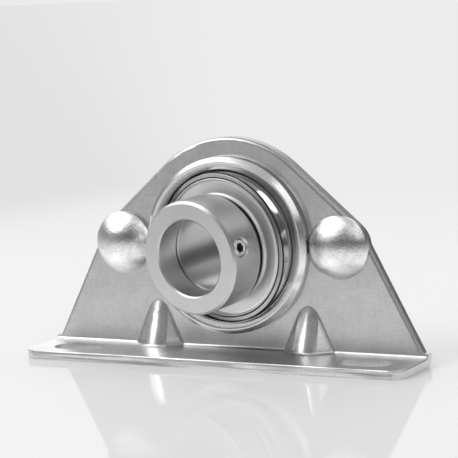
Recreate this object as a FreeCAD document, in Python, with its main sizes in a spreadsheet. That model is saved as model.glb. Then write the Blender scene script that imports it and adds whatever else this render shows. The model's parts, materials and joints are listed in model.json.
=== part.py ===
"""Pillow block bearing: a 25 mm insert bearing in a housing of two riveted steel pressings.

Units are millimetres. X runs along the base, Y away from the collar side, Z up. The origin is the
centre of the spherical seat, on the plane where the two pressings meet.
"""
import FreeCAD, Part
import math
import os
import Sketcher

DOC = FreeCAD.newDocument("pillow_block_bearing")

# Driving dimensions

SIZES = {
    # Bracket pressing
    "shaft_height": 37.5,
    "base_length": 138.0,
    "base_reach": 25.0,
    "bracket_gauge": 3.0,
    "bend_inner_radius": 1.0,
    "bend_outer_radius": 3.0,
    "base_corner_radius": 5.0,
    "upright_foot_inset": 1.6,
    "upright_foot_height": 1.4,
    "edge_roll_radius": 1.3,
    "base_edge_radius": 0.5,
    "crown_radius": 35.5,
    "ear_radius": 9.4,
    "rivet_spacing": 79.2,
    "slot_spacing": 105.0,
    "slot_length": 18.0,
    "slot_width": 11.0,
    "slot_setback": 15.0,
    # Pressed corner ribs
    "rib_spacing": 55.5,
    "rib_half_width": 11.0,
    "rib_reach": 5.7,
    "rib_height": 15.0,
    "rib_nose_radius": 7.0,
    "rib_tip_half_width": 4.3,
    "rib_tip_radius": 6.6,
    "rib_dent_half_width": 11.4,
    "rib_dent_reach": 7.4,
    "rib_dent_nose_radius": 4.4,
    "rib_dent_tip_half_width": 2.9,
    "rib_dent_tip_reach": 0.1,
    "rib_dent_tip_radius": 4.0,
    # Retainer pressing and the seat that both pressings share
    "retainer_gauge": 2.5,
    "seat_clearance": 0.05,
    "seat_lip_reach": 7.6,
    "seat_lip_radius": 27.6,
    "seat_crest_radius": 0.6,
    "seat_flank_lean": 9.0,
    "seat_mouth_break": 0.25,
    "seat_mouth_depth": 0.9,
    "seat_root_radius": 0.5,
    "retainer_lip_reach": 7.1,
    # Rivets
    "rivet_shank_radius": 4.0,
    "rivet_hole_clearance": 0.05,
    "rivet_head_radius": 10.2,
    "rivet_rim_height": 1.5,
    "rivet_head_height": 6.6,
    "rivet_tail_radius": 7.6,
    "rivet_tail_height": 3.2,
    # Insert bearing
    "bore_radius": 12.5,
    "sphere_radius": 26.0,
    "outer_ring_width": 13.6,
    "outer_ring_break": 0.45,
    "inner_ring_rear": 7.5,
    "inner_ring_front": 14.0,
    "inner_land_radius": 17.0,
    "outer_land_radius": 21.9,
    "ring_edge_break": 0.3,
    "bore_edge_break": 0.5,
    "ball_radius": 3.969,
    "ball_count": 9,
    "pitch_radius": 19.5,
    "groove_radius": 4.13,
    "ball_clearance": 0.01,
    # Snap cage
    "cage_inner_radius": 17.9,
    "cage_outer_radius": 21.1,
    "cage_claw_reach": 2.2,
    "cage_web_reach": 4.9,
    "cage_pocket_clearance": 0.12,
    # Seals
    "seal_seat_radius": 23.15,
    "seal_seat_depth": 5.2,
    "seal_mouth_break": 0.4,
    "seal_mouth_depth": 0.8,
    "seal_fit_clearance": 0.02,
    "washer_gauge": 0.4,
    "rubber_thickness": 0.8,
    "bead_height": 0.35,
    "bead_width": 0.5,
    "bead_groove_depth": 0.2,
    "bead_groove_width": 0.7,
    "washer_inner_radius": 17.5,
    "washer_flare": 0.9,
    "lip_clearance": 0.05,
    # Eccentric lock
    "collar_radius": 18.75,
    "collar_rear": 10.5,
    "collar_front": 24.0,
    "collar_edge_break": 0.8,
    "collar_bore_clearance": 0.1,
    "recess_front": 15.0,
    "eccentricity": 0.8,
    "cam_radius": 15.2,
    "cam_clearance": 0.3,
    "cam_start": 9.6,
    # Set screw
    "screw_position": 19.4,
    "screw_angle": 12.0,
    "screw_radius": 2.95,
    "screw_clearance": 0.05,
    "screw_length": 5.2,
    "screw_tip_gap": 0.3,
    "screw_edge_break": 0.4,
    "countersink_radius": 3.7,
    "socket_width": 3.0,
    "socket_depth": 2.6,
    # Swivel of the insert in its seat, as it stands
    "swivel_angle": 11.5,
    "swivel_axis_lean": 25.0,
}


def fill_sheet():
    """Write every driving dimension into a sheet, one row each, with its name as the alias."""
    sheet = DOC.addObject("Spreadsheet::Sheet", "Sizes")
    for row, (name, value) in enumerate(SIZES.items(), start=1):
        sheet.set(f"A{row}", name)
        sheet.set(f"B{row}", str(value))
        sheet.setAlias(f"B{row}", name)
    DOC.recompute()
    return sheet


SHEET = fill_sheet()


class Size:
    """A length or angle that knows both its value and the expression that gives it."""

    def __init__(self, text, value):
        self.text = text
        self.value = float(value)

    def join(self, sign, other, value):
        return Size(f"({self.text} {sign} {other.text})", value)

    def __add__(self, other):
        other = as_size(other)
        return self.join("+", other, self.value + other.value)

    def __radd__(self, other):
        return as_size(other) + self

    def __sub__(self, other):
        other = as_size(other)
        return self.join("-", other, self.value - other.value)

    def __rsub__(self, other):
        return as_size(other) - self

    def __mul__(self, other):
        other = as_size(other)
        return self.join("*", other, self.value * other.value)

    def __rmul__(self, other):
        return as_size(other) * self

    def __truediv__(self, other):
        other = as_size(other)
        return self.join("/", other, self.value / other.value)

    def __neg__(self):
        return Size(f"(0 - {self.text})", -self.value)


def as_size(number):
    return number if isinstance(number, Size) else Size(repr(float(number)), number)


def size(name):
    """A driving dimension, read from the sheet."""
    return Size(f"Sizes.{name}", SHEET.get(name))


def root(value):
    return Size(f"sqrt({value.text})", math.sqrt(value.value))


def leg(hypotenuse, other):
    """The remaining side of a right triangle."""
    return root(hypotenuse * hypotenuse - other * other)


def sine(degrees):
    return Size(f"sin({degrees.text} * 1 deg)", math.sin(math.radians(degrees.value)))


def cosine(degrees):
    return Size(f"cos({degrees.text} * 1 deg)", math.cos(math.radians(degrees.value)))


ZERO = as_size(0)


# Bodies, planes and sketches

def new_body(label):
    body = DOC.addObject("PartDesign::Body", label)
    body.Label = label
    return body


def plane_of(body, role):
    for feature in body.Origin.OriginFeatures:
        if feature.Role == role:
            return feature
    raise ValueError(role)


def new_sketch(body, name, role, offset=None):
    """A sketch on one of the body's own planes, moved along the plane's normal by offset."""
    sketch = body.newObject("Sketcher::SketchObject", name)
    sketch.AttachmentSupport = [(plane_of(body, role), "")]
    sketch.MapMode = "FlatFace"
    if offset is not None:
        sketch.setExpression("AttachmentOffset.Base.z", offset.text)
    return sketch


def bind(sketch, constraint, value):
    """Add a constraint whose last figure is driven by the sheet."""
    index = sketch.addConstraint(constraint)
    sketch.setExpression(f"Constraints[{index}]", value.text)


def hold(sketch, geometry, point, kind, value):
    """Hold one coordinate of a point: kind is DistanceX or DistanceY, from the sketch's origin."""
    if value.value == 0.0:
        axis = -2 if kind == "DistanceX" else -1
        sketch.addConstraint(Sketcher.Constraint("PointOnObject", geometry, point, axis))
    else:
        bind(sketch, Sketcher.Constraint(kind, -1, 1, geometry, point, value.value), value)


def pin(sketch, geometry, point, at):
    """Hold a point of the sketch at given coordinates from its origin."""
    hold(sketch, geometry, point, "DistanceX", at[0])
    hold(sketch, geometry, point, "DistanceY", at[1])


def arc_between(start, end, radius, turn):
    """The arc of a given radius from start to end; turn is 1 anticlockwise, -1 clockwise."""
    start = FreeCAD.Vector(start[0], start[1], 0)
    end = FreeCAD.Vector(end[0], end[1], 0)
    chord = end - start
    half = chord.Length / 2
    across = FreeCAD.Vector(-chord.y, chord.x, 0).normalize()
    height = math.sqrt(max(radius * radius - half * half, 0.0))
    centre = (start + end) * 0.5 + across * (height * turn)
    angles = [math.atan2(p.y - centre.y, p.x - centre.x) for p in (start, end)]
    if turn < 0:
        angles.reverse()
    if angles[1] < angles[0]:
        angles[1] += 2 * math.pi
    circle = Part.Circle(centre, FreeCAD.Vector(0, 0, 1), radius)
    return Part.ArcOfCircle(circle, angles[0], angles[1])


def outline(sketch, corners):
    """Draw one closed outline. A corner is (x, y) or (x, y, radius, turn) for an arc to the next."""
    joints = []
    count = len(corners)
    for index, corner in enumerate(corners):
        after = corners[(index + 1) % count]
        start = (corner[0].value, corner[1].value)
        end = (after[0].value, after[1].value)
        if len(corner) == 2:
            edge = Part.LineSegment(FreeCAD.Vector(*start, 0), FreeCAD.Vector(*end, 0))
            number = sketch.addGeometry(edge, False)
            joints.append((number, 1, 2))
            continue
        number = sketch.addGeometry(arc_between(start, end, corner[2].value, corner[3]), False)
        joints.append((number, 1, 2) if corner[3] > 0 else (number, 2, 1))
        chord = math.dist(start, end)
        if abs(chord - corner[2].value * 2) > 1e-6:
            bind(sketch, Sketcher.Constraint("Radius", number, corner[2].value), corner[2])
        elif abs(start[0] - end[0]) < 1e-6:
            hold(sketch, number, 3, "DistanceX", corner[0])
        else:
            hold(sketch, number, 3, "DistanceY", corner[1])
    for index, (number, first, last) in enumerate(joints):
        following = joints[(index + 1) % count]
        sketch.addConstraint(Sketcher.Constraint("Coincident", number, last, following[0], following[1]))
        pin(sketch, number, first, corners[index])
    return sketch


def circle(sketch, x, y, radius):
    """Draw a circle held at x, y."""
    shape = Part.Circle(FreeCAD.Vector(x.value, y.value, 0), FreeCAD.Vector(0, 0, 1), radius.value)
    number = sketch.addGeometry(shape, False)
    bind(sketch, Sketcher.Constraint("Radius", number, radius.value), radius)
    pin(sketch, number, 3, (x, y))
    return sketch


def revolve(body, name, corners, cut=False):
    """Turn a profile of (radius, position along Y) about the body's Y axis."""
    sketch = outline(new_sketch(body, f"{name}_profile", "XY_Plane"), corners)
    feature = body.newObject("PartDesign::Groove" if cut else "PartDesign::Revolution", name)
    feature.Profile = sketch
    feature.ReferenceAxis = (sketch, ["V_Axis"])
    feature.Angle = 360.0
    DOC.recompute()
    return feature


def pad(body, name, sketch, length, both_sides=False, reverse=False):
    feature = body.newObject("PartDesign::Pad", name)
    feature.Profile = sketch
    feature.setExpression("Length", length.text)
    if both_sides:
        feature.SideType = "Symmetric"
    feature.Reversed = reverse
    DOC.recompute()
    return feature


def pocket(body, name, sketch, depth=None, reverse=False):
    """Cut a sketch away: to a depth on one side, or through everything on both sides."""
    feature = body.newObject("PartDesign::Pocket", name)
    feature.Profile = sketch
    if depth is None:
        feature.Type = "ThroughAll"
        feature.SideType = "Symmetric"
    else:
        feature.setExpression("Length", depth.text)
        feature.Reversed = reverse
    DOC.recompute()
    return feature


def mirror(body, name, features):
    """Repeat features on the other side of the YZ plane."""
    feature = body.newObject("PartDesign::Mirrored", name)
    feature.Originals = features
    feature.MirrorPlane = (plane_of(body, "YZ_Plane"), [""])
    body.Tip = feature
    DOC.recompute()
    return feature


def round_edges(body, name, radius, chosen):
    """Fillet the edges of the body so far for which chosen(edge) is true."""
    base = body.Tip
    names = [f"Edge{i}" for i, edge in enumerate(base.Shape.Edges, start=1) if chosen(edge)]
    feature = body.newObject("PartDesign::Fillet", name)
    feature.Base = (base, names)
    feature.setExpression("Radius", radius.text)
    DOC.recompute()
    return feature


# Placement of the insert, swivelled in its seat about an axis in the XZ plane

def placement(shift, axis, angle):
    """The expression of a placement: a turn about an axis by degrees, then a shift."""
    shift, axis = ("; ".join(as_size(part).text for part in vector) for vector in (shift, axis))
    return (f"create(<<placement>>; create(<<vector>>; {shift}); "
            f"create(<<rotation>>; create(<<vector>>; {axis}); {angle.text}))")


def seat_in_housing(thing, turn=None, radius=None):
    """Swivel a piece of the insert with its bearing axis, after turning it about that axis.

    A piece with a radius is first moved out from the bearing axis by it.
    """
    lean = "Sizes.swivel_axis_lean * 1 deg"
    across = math.radians(size("swivel_axis_lean").value)
    axis = (Size(f"sin({lean})", math.sin(across)), ZERO, Size(f"(0 - cos({lean}))", -math.cos(across)))
    steps = [placement((0, 0, 0), axis, size("swivel_angle"))]
    if turn is not None:
        steps.append(placement((0, 0, 0), (0, 1, 0), turn))
    if radius is not None:
        steps.append(placement((radius, 0, 0), (0, 1, 0), ZERO))
    thing.setExpression("Placement", " * ".join(steps))


HALF_BASE = size("base_length") / 2
EAR_X = size("rivet_spacing") / 2
BASE_TOP = size("bracket_gauge") - size("shaft_height")
FOOT = BASE_TOP + size("upright_foot_height")
OVER = as_size(1)


# Housing: shared outline of the two pressings

def tangent_angles(foot_x=None, foot_z=None):
    """Angles, in degrees, at which the outline leaves an ear: towards the crown, and the foot."""
    ear_x = EAR_X.value
    ear = size("ear_radius").value
    upper = math.degrees(math.acos((size("crown_radius").value - ear) / ear_x))
    if foot_x is None:
        return upper, -upper
    reach = math.hypot(foot_x - ear_x, foot_z)
    bearing = math.atan2(foot_z, foot_x - ear_x)
    return upper, math.degrees(bearing + math.acos(ear / reach))


def arc_chain(sketch, arcs):
    """Draw arcs (x, radius, first angle, last angle), listed anticlockwise, joined by tangent lines.

    The centres lie on the sketch's horizontal axis. Returns the arcs' numbers.
    """
    numbers = []
    for x, radius, first, last in arcs:
        centre = FreeCAD.Vector(x.value, 0, 0)
        whole = Part.Circle(centre, FreeCAD.Vector(0, 0, 1), radius.value)
        arc = Part.ArcOfCircle(whole, math.radians(first), math.radians(last))
        number = sketch.addGeometry(arc, False)
        bind(sketch, Sketcher.Constraint("Radius", number, radius.value), radius)
        pin(sketch, number, 3, (x, ZERO))
        numbers.append(number)
    return numbers


def tangent_line(sketch, first, last):
    """Join the end of one arc to the start of the next by a line tangent to both."""
    start = sketch.getPoint(first, 2)
    end = sketch.getPoint(last, 1)
    number = sketch.addGeometry(Part.LineSegment(start, end), False)
    sketch.addConstraint(Sketcher.Constraint("Tangent", first, 2, number, 1))
    sketch.addConstraint(Sketcher.Constraint("Tangent", number, 2, last, 1))
    return number


def upright_waste(sketch):
    """All that is blanked away round the bracket's upright, above its foot."""
    foot_x = HALF_BASE - size("upright_foot_inset")
    upper, lower = tangent_angles(foot_x.value, FOOT.value)
    ears = size("ear_radius")
    right, crown, left = arc_chain(sketch, [
        (EAR_X, ears, lower, upper),
        (ZERO, size("crown_radius"), upper, 180 - upper),
        (-EAR_X, ears, 180 - upper, 180 - lower),
    ])
    tangent_line(sketch, right, crown)
    tangent_line(sketch, crown, left)
    side = HALF_BASE + OVER
    top = size("crown_radius") + OVER * 2
    around = [(foot_x, FOOT), (side, FOOT), (side, top), (-side, top), (-side, FOOT), (-foot_x, FOOT)]
    places = [FreeCAD.Vector(x.value, z.value, 0) for x, z in around]
    first = sketch.addGeometry(Part.LineSegment(places[0], sketch.getPoint(right, 1)), False)
    sketch.addConstraint(Sketcher.Constraint("Tangent", first, 2, right, 1))
    before = (first, 1)
    for start, end, corner in zip(places, places[1:], around):
        number = sketch.addGeometry(Part.LineSegment(start, end), False)
        sketch.addConstraint(Sketcher.Constraint("Coincident", *before, number, 1))
        pin(sketch, number, 1, corner)
        before = (number, 2)
    last = sketch.addGeometry(Part.LineSegment(places[-1], sketch.getPoint(left, 2)), False)
    sketch.addConstraint(Sketcher.Constraint("Coincident", *before, last, 1))
    pin(sketch, last, 1, around[-1])
    sketch.addConstraint(Sketcher.Constraint("Tangent", last, 2, left, 2))


def retainer_outline(sketch):
    """The retainer's lobed oval: the crown above and below, and the two ears."""
    upper, lower = tangent_angles()
    crown = size("crown_radius")
    ears = size("ear_radius")
    arcs = arc_chain(sketch, [
        (EAR_X, ears, lower, upper),
        (ZERO, crown, upper, 180 - upper),
        (-EAR_X, ears, 180 - upper, 180 + upper),
        (ZERO, crown, 180 + upper, 360 - upper),
    ])
    for arc, after in zip(arcs, arcs[1:] + arcs[:1]):
        tangent_line(sketch, arc, after)


def press_seat(body, side, gauge, reach):
    """Draw the collar that holds half of the spherical seat out of a sheet; side -1 is the front.

    From its flat lip a rounded crest leads to a flank that widens towards a hollow root.
    """
    lip = size("seat_lip_radius")
    crest = size("seat_crest_radius")
    hollow = size("seat_root_radius")
    rise = sine(size("seat_flank_lean"))
    run = cosine(size("seat_flank_lean"))
    flank_top = reach - crest + crest * rise
    flank_foot = gauge + hollow - hollow * rise
    narrow = lip + crest * run
    wide = narrow + (flank_top - flank_foot) * rise / run
    revolve(body, "seat_collar", [
        (ZERO, gauge * side / 2),
        (wide + hollow * run, gauge * side / 2),
        (wide + hollow * run, gauge * side, hollow, -side),
        (wide, flank_foot * side),
        (narrow, flank_top * side, crest, side),
        (lip, reach * side),
        (ZERO, reach * side),
    ])
    sphere = size("sphere_radius") + size("seat_clearance")
    mouth = size("seat_mouth_break")
    depth = size("seat_mouth_depth")
    edge = leg(sphere, reach - depth)
    revolve(body, "seat", [
        (ZERO, -OVER * side),
        (sphere, -OVER * side),
        (sphere, ZERO, sphere, side),
        (edge, (reach - depth) * side),
        (edge + mouth, reach * side),
        (edge + mouth, (reach + OVER) * side),
        (ZERO, (reach + OVER) * side),
    ], cut=True)


def rivet_holes(body):
    sketch = new_sketch(body, "rivet_hole_circles", "XZ_Plane")
    radius = size("rivet_shank_radius") + size("rivet_hole_clearance")
    for x in (-EAR_X, EAR_X):
        circle(sketch, x, ZERO, radius)
    pocket(body, "rivet_holes", sketch)


def slot_outline(sketch, x):
    """A slot across the base, centred at x."""
    end = size("slot_width") / 2
    straight = (size("slot_length") - size("slot_width")) / 2
    y = -size("slot_setback")
    outline(sketch, [
        (x - straight, y - end),
        (x + straight, y - end, end, 1),
        (x + straight, y + end),
        (x - straight, y + end, end, 1),
    ])


def rib_section(sketch, half_width, reach, nose, back):
    """A rounded triangle, seen from above: flanks from the upright to a nose towards the front."""
    x = size("rib_spacing") / 2
    centre = FreeCAD.Vector(x.value, (nose - reach).value, 0)
    right_foot = FreeCAD.Vector((x + half_width).value, back.value, 0)
    left_foot = FreeCAD.Vector((x - half_width).value, back.value, 0)
    span = right_foot - centre
    lean = math.atan2(span.y, span.x) - math.acos(nose.value / span.Length)
    whole = Part.Circle(centre, FreeCAD.Vector(0, 0, 1), nose.value)
    arc = sketch.addGeometry(Part.ArcOfCircle(whole, math.pi - lean, math.tau + lean), False)
    right = sketch.addGeometry(Part.LineSegment(sketch.getPoint(arc, 2), right_foot), False)
    rear = sketch.addGeometry(Part.LineSegment(right_foot, left_foot), False)
    left = sketch.addGeometry(Part.LineSegment(left_foot, sketch.getPoint(arc, 1)), False)
    sketch.addConstraint(Sketcher.Constraint("Tangent", arc, 2, right, 1))
    sketch.addConstraint(Sketcher.Constraint("Coincident", right, 2, rear, 1))
    sketch.addConstraint(Sketcher.Constraint("Coincident", rear, 2, left, 1))
    sketch.addConstraint(Sketcher.Constraint("Tangent", left, 2, arc, 1))
    bind(sketch, Sketcher.Constraint("Radius", arc, nose.value), nose)
    pin(sketch, arc, 3, (x, nose - reach))
    pin(sketch, rear, 1, (x + half_width, back))
    pin(sketch, left, 1, (x - half_width, back))


def rib_loft(body, name, kind, sections):
    """Blend rib sections, given as (height, half width, reach, nose radius, back edge)."""
    sketches = []
    for number, (height, *shape) in enumerate(sections, start=1):
        sketch = new_sketch(body, f"{name}_section_{number}", "XY_Plane", height)
        rib_section(sketch, *shape)
        sketches.append(sketch)
    DOC.recompute()
    feature = body.newObject(kind, name)
    feature.Profile = sketches[0]
    feature.Sections = sketches[1:]
    feature.Ruled = True
    DOC.recompute()
    return feature


def press_ribs(body):
    """Stiffen the bend with two pressed ribs: a ridge inside it and the matching dent outside."""
    gauge = size("bracket_gauge")
    tip = size("rib_tip_half_width")
    height = size("rib_height")
    middle = gauge / 2
    spread = (height + middle) / height
    width = tip + (size("rib_half_width") - tip) * spread
    reach = gauge + size("rib_reach") * spread
    ridge = rib_loft(body, "rib_ridge", "PartDesign::AdditiveLoft", [
        (BASE_TOP - middle, width, reach, size("rib_nose_radius"), -middle),
        (BASE_TOP + height, tip, gauge, size("rib_tip_radius"), -middle),
    ])
    mirror(body, "rib_ridges", [ridge])
    round_edges(body, "press_radii", size("bend_inner_radius"), inner_corner)
    round_edges(body, "base_edges", size("base_edge_radius"), base_outline)
    dent = rib_loft(body, "rib_dent", "PartDesign::SubtractiveLoft", [
        (BASE_TOP - gauge - OVER, size("rib_dent_half_width"), size("rib_dent_reach"),
         size("rib_dent_nose_radius"), OVER),
        (BASE_TOP + height - middle / 2, size("rib_dent_tip_half_width"), size("rib_dent_tip_reach"),
         size("rib_dent_tip_radius"), OVER),
    ])
    mirror(body, "rib_dents", [dent])


def along(edge):
    """Five points spread along an edge."""
    first, last = edge.FirstParameter, edge.LastParameter
    return [edge.valueAt(first + (last - first) * step / 4) for step in range(5)]


def inner_corner(edge):
    """Whether an edge is in the bend, or where a rib leaves the upright or the base."""
    face = -size("bracket_gauge").value
    floor = BASE_TOP.value
    side = HALF_BASE.value - size("rib_spacing").value / 4
    points = along(edge)
    in_bend = all(abs(p.y - face) < 1e-3 and abs(p.z - floor) < 1e-3 for p in points)
    on_upright = all(abs(p.y - face) < 1e-3 and floor - 1e-3 < p.z < floor / 2 for p in points)
    on_base = all(abs(p.z - floor) < 1e-3 and -size("base_reach").value / 2 < p.y < face + 1e-3
                  for p in points)
    return in_bend or ((on_upright or on_base) and all(abs(p.x) < side for p in points))


def outline_edge(edge):
    """Whether an edge runs round the front of the upright."""
    face = -size("bracket_gauge").value
    points = along(edge)
    flat = all(abs(p.y - face) < 1e-3 and p.z > FOOT.value - 1e-3 for p in points)
    return flat and points[2].z > FOOT.value + 1e-3


def base_outline(edge):
    """Whether an edge runs round the top of the base: along the front, a corner or an end."""
    edge_line = size("base_corner_radius").value + 1e-3
    points = along(edge)
    flat = all(abs(p.z - BASE_TOP.value) < 1e-3 for p in points)
    front = all(p.y + size("base_reach").value < edge_line for p in points)
    end = all(HALF_BASE.value - abs(p.x) < 1e-3 for p in points)
    return flat and (front or end)


def front_corner(edge):
    """Whether an edge is one of the upright edges at the two front corners of the base."""
    corner = (HALF_BASE.value, -size("base_reach").value)
    points = [vertex.Point for vertex in edge.Vertexes]
    upright = len(points) == 2 and abs(points[0].x - points[1].x) < 1e-4
    return upright and all(math.dist((abs(p.x), p.y), corner) < 1e-4 for p in points)


def housing_bracket():
    """L-shaped pressing: base with two slots, ribbed bend, and upright with the front half seat."""
    body = new_body("housing_bracket")
    gauge = size("bracket_gauge")
    outer = size("bend_outer_radius")
    floor = -size("shaft_height")
    reach = size("base_reach")
    top = size("crown_radius") + OVER
    profile = outline(new_sketch(body, "bent_sheet", "YZ_Plane"), [
        (-reach, floor),
        (-outer, floor, outer, 1),
        (ZERO, floor + outer),
        (ZERO, top),
        (-gauge, top),
        (-gauge, BASE_TOP),
        (-reach, BASE_TOP),
    ])
    pad(body, "bent_blank", profile, size("base_length"), both_sides=True)
    waste = new_sketch(body, "upright_outline", "XZ_Plane")
    upright_waste(waste)
    pocket(body, "blanked_upright", waste)
    round_edges(body, "base_corners", size("base_corner_radius"), front_corner)
    round_edges(body, "rolled_edges", size("edge_roll_radius"), outline_edge)
    press_ribs(body)
    press_seat(body, -1, gauge, size("seat_lip_reach"))
    rivet_holes(body)
    slots = new_sketch(body, "base_slot_outlines", "XY_Plane")
    for side in (-1, 1):
        slot_outline(slots, size("slot_spacing") * side / 2)
    pocket(body, "base_slots", slots)
    return body


def rear_retainer():
    """Lobed pressing that carries the rear half of the seat, riveted to the bracket."""
    body = new_body("rear_retainer")
    gauge = size("retainer_gauge")
    sketch = new_sketch(body, "lobed_outline", "XZ_Plane")
    retainer_outline(sketch)
    pad(body, "blank", sketch, gauge, reverse=True)
    round_edges(body, "rolled_edges", size("edge_roll_radius"),
                lambda edge: all(abs(p.y - gauge.value) < 1e-3 for p in along(edge)))
    press_seat(body, 1, gauge, size("retainer_lip_reach"))
    rivet_holes(body)
    return body


def rivet(label, side):
    """Rivet through both pressings: domed head in front, shank, and a low formed tail behind."""
    body = new_body(label)
    shank = size("rivet_shank_radius")
    head = size("rivet_head_radius")
    rim = size("rivet_rim_height")
    dome = size("rivet_head_height") - rim
    tail = size("rivet_tail_radius")
    low = size("rivet_tail_height")
    front = -size("bracket_gauge")
    rear = size("retainer_gauge")
    revolve(body, "rivet_form", [
        (ZERO, front - rim - dome, (head * head + dome * dome) / (dome * 2), 1),
        (head, front - rim),
        (head, front),
        (shank, front),
        (shank, rear),
        (tail, rear, (tail * tail + low * low) / (low * 2), 1),
        (ZERO, rear + low),
    ])
    body.setExpression("Placement.Base.x", (EAR_X * side).text)
    return body


# Insert bearing

def outer_ring():
    """Ring with a spherical outside, one deep groove and a seal recess at each end."""
    body = new_body("outer_ring")
    sphere = size("sphere_radius")
    half = size("outer_ring_width") / 2
    edge = size("outer_ring_break")
    land = size("outer_land_radius")
    recess = size("seal_seat_radius")
    depth = size("seal_seat_depth")
    mouth = size("seal_mouth_break")
    groove = size("groove_radius")
    centre = size("pitch_radius") + size("ball_radius") + size("ball_clearance") - groove
    shoulder = leg(groove, land - centre)
    revolve(body, "ring", [
        (leg(sphere, half) - edge, -half),
        (leg(sphere, half - edge), edge - half, sphere, 1),
        (leg(sphere, half - edge), half - edge),
        (leg(sphere, half) - edge, half),
        (recess + mouth, half),
        (recess, half - size("seal_mouth_depth")),
        (recess, depth),
        (land, depth),
        (land, shoulder, groove, -1),
        (land, -shoulder),
        (land, -depth),
        (recess, -depth),
        (recess, size("seal_mouth_depth") - half),
        (recess + mouth, -half),
    ])
    seat_in_housing(body)
    return body


def inner_ring():
    """Ring with one deep groove and, at the front, an off-centre cam for the locking collar."""
    body = new_body("inner_ring")
    rear = size("inner_ring_rear")
    front = size("inner_ring_front")
    land = size("inner_land_radius")
    edge = size("ring_edge_break")
    groove = size("groove_radius")
    centre = size("pitch_radius") - size("ball_radius") - size("ball_clearance") + groove
    shoulder = leg(groove, centre - land)
    cam_start = size("cam_start")
    revolve(body, "ring", [
        (ZERO, -cam_start),
        (land - edge, -cam_start),
        (land, edge - cam_start),
        (land, -shoulder, groove, -1),
        (land, shoulder),
        (land, rear - edge),
        (land - edge, rear),
        (ZERO, rear),
    ])
    cam = new_sketch(body, "cam_circle", "XZ_Plane", cam_start)
    circle(cam, ZERO, size("eccentricity"), size("cam_radius"))
    pad(body, "cam", cam, front - cam_start)
    bore = size("bore_radius")
    chamfer = size("bore_edge_break")
    revolve(body, "bore", [
        (ZERO, -front - OVER),
        (bore + chamfer, -front - OVER),
        (bore + chamfer, -front),
        (bore, chamfer - front),
        (bore, rear - chamfer),
        (bore + chamfer, rear),
        (bore + chamfer, rear + OVER),
        (ZERO, rear + OVER),
    ], cut=True)
    seat_in_housing(body, -size("screw_angle"))
    return body


def ball(number):
    """One ball of the row, on the pitch circle."""
    thing = DOC.addObject("Part::Sphere", f"ball_{number}")
    thing.Label = f"ball_{number}"
    thing.setExpression("Radius", size("ball_radius").text)
    seat_in_housing(thing, as_size(360) * number / size("ball_count"), size("pitch_radius"))
    return thing


def ball_cage():
    """One-piece snap cage: a web behind the balls and claws that reach round them."""
    body = new_body("ball_cage")
    inner = size("cage_inner_radius")
    outer = size("cage_outer_radius")
    claws = -size("cage_claw_reach")
    web = size("cage_web_reach")
    revolve(body, "cage_ring", [(inner, claws), (outer, claws), (outer, web), (inner, web)])
    sphere = size("ball_radius") + size("cage_pocket_clearance")
    pitch = size("pitch_radius")
    sketch = new_sketch(body, "pocket_profile", "XY_Plane")
    sketch.setExpression("AttachmentOffset.Base.x", pitch.text)
    outline(sketch, [(ZERO, -sphere, sphere, 1), (ZERO, sphere)])
    first = body.newObject("PartDesign::Groove", "ball_pocket")
    first.Profile = sketch
    first.ReferenceAxis = (sketch, ["V_Axis"])
    first.Angle = 360.0
    DOC.recompute()
    pattern = body.newObject("PartDesign::PolarPattern", "ball_pockets")
    pattern.Originals = [first]
    pattern.Axis = (sketch_axis(body), ["V_Axis"])
    pattern.Angle = 360.0
    pattern.setExpression("Occurrences", size("ball_count").text)
    body.Tip = pattern
    DOC.recompute()
    seat_in_housing(body)
    return body


def sketch_axis(body):
    """The sketch of the body's first revolved profile, whose vertical axis is the bearing axis."""
    return next(thing for thing in body.Group if thing.TypeId == "Sketcher::SketchObject")


def seal_levels():
    """Distances from the bearing's middle to the faces of the two washers and the rubber."""
    inner_washer = size("seal_seat_depth")
    rubber = inner_washer + size("washer_gauge")
    outer_washer = rubber + size("rubber_thickness")
    face = outer_washer + size("washer_gauge")
    return inner_washer, rubber, outer_washer, face


def inner_washer(label, side):
    body = new_body(label)
    start, end = seal_levels()[:2]
    rim = size("seal_seat_radius") - size("seal_fit_clearance")
    hole = size("washer_inner_radius")
    revolve(body, "washer", [
        (hole, start * side), (rim, start * side), (rim, end * side), (hole, end * side)])
    seat_in_housing(body)
    return body


def seal_lip(label, side):
    """Rubber ring between the washers, with a lip that runs on the inner ring."""
    body = new_body(label)
    start, end = seal_levels()[1:3]
    rim = size("seal_seat_radius") - size("seal_fit_clearance")
    tip = size("inner_land_radius") + size("lip_clearance")
    thickness = size("rubber_thickness")
    heel = tip + thickness
    middle = (start + end) / 2
    edge = thickness / 6
    revolve(body, "rubber", [
        (tip, (middle - edge) * side),
        (heel, start * side),
        (rim, start * side),
        (rim, end * side),
        (heel, end * side),
        (tip, (middle + edge) * side),
    ])
    seat_in_housing(body)
    return body


def outer_washer(label, side):
    """Steel cover with a bead at its rim, a groove inside it and a raised edge round the inner ring."""
    body = new_body(label)
    start, face = seal_levels()[2:]
    rim = size("seal_seat_radius") - size("seal_fit_clearance")
    hole = size("washer_inner_radius")
    flare = size("washer_flare")
    roll = size("bead_width") / 2
    bead = face + size("bead_height")
    groove = face - size("bead_groove_depth")
    revolve(body, "cover", [
        (hole, start * side),
        (rim, start * side),
        (rim, (bead - roll) * side, roll, side),
        (rim - roll * 2, (bead - roll) * side),
        (rim - roll * 2, groove * side),
        (rim - roll * 2 - size("bead_groove_width"), face * side),
        (hole + flare, face * side),
        (hole + size("washer_gauge"), (face + flare) * side),
        (hole, (face + flare) * side),
    ])
    seat_in_housing(body)
    return body


# Eccentric lock

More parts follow.
